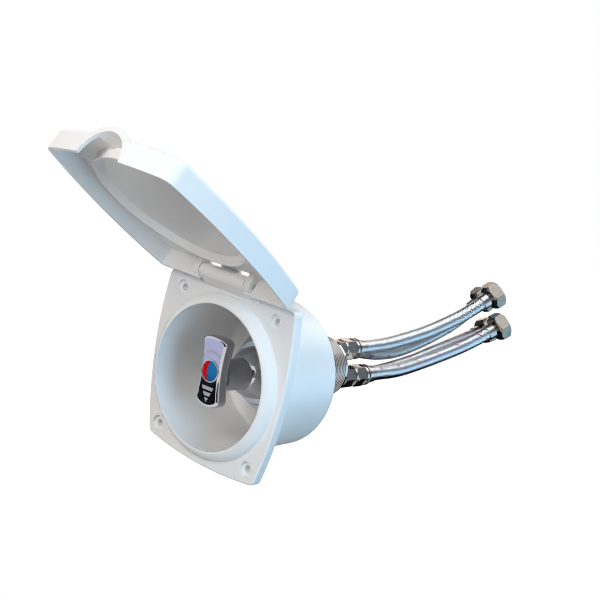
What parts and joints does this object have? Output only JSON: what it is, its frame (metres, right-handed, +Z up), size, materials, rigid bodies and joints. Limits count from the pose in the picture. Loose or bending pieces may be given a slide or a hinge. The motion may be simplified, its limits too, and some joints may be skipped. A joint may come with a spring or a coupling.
{
  "type": "recessed mixer tap",
  "caption": "Recessed mixer tap: a lidded round bowl set in a flange, with a single-lever mixer on its floor and braided supply hoses behind.",
  "frame": {"origin": "centre of the four screw holes, on the flange's back face", "axes": "+Z up, +X to the right seen from the front, +Y into the wall along the bowl and the mixer"},
  "size_m": [0.135, 0.4768, 0.2248],
  "materials": {
    "white_plastic": "semi-gloss moulded white",
    "chrome": "polished chrome plate",
    "grey_metal": "dull grey",
    "steel": "plain steel",
    "nickel": "nickel-plated brass",
    "braid": "braided stainless wire",
    "ceramic": "lapped ceramic",
    "grey_plastic": "moulded acetal",
    "rubber": "black rubber",
    "red": "gloss red",
    "blue": "gloss blue"
  },
  "bodies": {
    "housing": {"back_nut": "nickel", "back_washer": "rubber", "ball_cover": "chrome", "base_seals": "rubber", "body_gasket": "rubber", "cartridge_base": "grey_plastic", "cartridge_housing": "grey_plastic", "cartridge_nut": "nickel", "far_ferrule_lower_back": "steel", "far_ferrule_lower_front": "steel", "far_ferrule_upper_back": "steel", "far_ferrule_upper_front": "steel", "fixed_disc": "ceramic", "hinge_pin": "steel", "hose_lower_back": "braid", "hose_lower_front": "braid", "hose_upper_back": "braid", "hose_upper_front": "braid", "housing": "white_plastic", "mixer_body": "chrome", "near_ferrule_lower_back": "steel", "near_ferrule_lower_front": "steel", "near_ferrule_upper_back": "steel", "near_ferrule_upper_front": "steel", "near_nut_lower_back": "nickel", "near_nut_lower_front": "nickel", "near_nut_upper_back": "nickel", "near_nut_upper_front": "nickel", "nipple_lower_back": "nickel", "nipple_lower_front": "nickel", "nipple_upper_back": "nickel", "nipple_upper_front": "nickel", "tail_lower_back": "nickel", "tail_lower_front": "nickel", "tail_upper_back": "nickel", "tail_upper_front": "nickel"},
    "lid": {"lid": "white_plastic"},
    "turret": {"turret": "grey_plastic", "tilt_pin": "steel"},
    "slider": {"disc_slider": "grey_plastic", "moving_disc": "ceramic"},
    "lever": {"stem": "grey_plastic", "stem_shield": "grey_plastic", "lever_neck": "grey_metal", "lever": "chrome", "lever_screw": "steel", "cap_ring": "chrome", "cap_red": "red", "cap_blue": "blue"},
    "swivel_nut_upper_front": {"swivel_nut_upper_front": "nickel", "washer_upper_front": "rubber"},
    "swivel_nut_upper_back": {"swivel_nut_upper_back": "nickel", "washer_upper_back": "rubber"},
    "swivel_nut_lower_back": {"swivel_nut_lower_back": "nickel", "washer_lower_back": "rubber"},
    "swivel_nut_lower_front": {"swivel_nut_lower_front": "nickel", "washer_lower_front": "rubber"}
  },
  "joints": [
    {"name": "lid_hinge", "type": "hinge", "parent": "housing", "child": "lid", "pos_m": [0, -0.0142, 0.0715], "axis": [1, 0, 0], "range_deg": [-5, 121.9]},
    {"name": "temperature_turn", "type": "hinge", "parent": "housing", "child": "turret", "pos_m": [0, 0.0367, -0.0009], "axis": [0, 1, 0], "range_deg": [-42, 48]},
    {"name": "flow_tilt", "type": "hinge", "parent": "turret", "child": "lever", "pos_m": [0, 0.0367, -0.0009], "axis": [-0.9986, 0, -0.0523], "range_deg": [0, 20]},
    {"name": "disc_slide", "type": "slide", "parent": "turret", "child": "slider", "axis": [0.0523, 0, -0.9986], "range_m": [0, 0.004]},
    {"name": "swivel_upper_front", "type": "hinge", "parent": "housing", "child": "swivel_nut_upper_front", "pos_m": [0.0404, 0.2922, 0.0646], "axis": [0.351, 0.6753, 0.6487], "continuous": true},
    {"name": "swivel_upper_back", "type": "hinge", "parent": "housing", "child": "swivel_nut_upper_back", "pos_m": [0.0206, 0.3126, 0.0543], "axis": [0.3051, 0.6061, 0.7346], "continuous": true},
    {"name": "swivel_lower_back", "type": "hinge", "parent": "housing", "child": "swivel_nut_lower_back", "pos_m": [0.0259, 0.3216, 0.0276], "axis": [0.3586, 0.83, 0.4271], "continuous": true},
    {"name": "swivel_lower_front", "type": "hinge", "parent": "housing", "child": "swivel_nut_lower_front", "pos_m": [0.0496, 0.2992, 0.0378], "axis": [0.3845, 0.7243, 0.5723], "continuous": true}
  ],
  "couplings": [
    {"joint": "disc_slide", "follows": "flow_tilt", "m_per_rad": 0.011268}
  ]
}
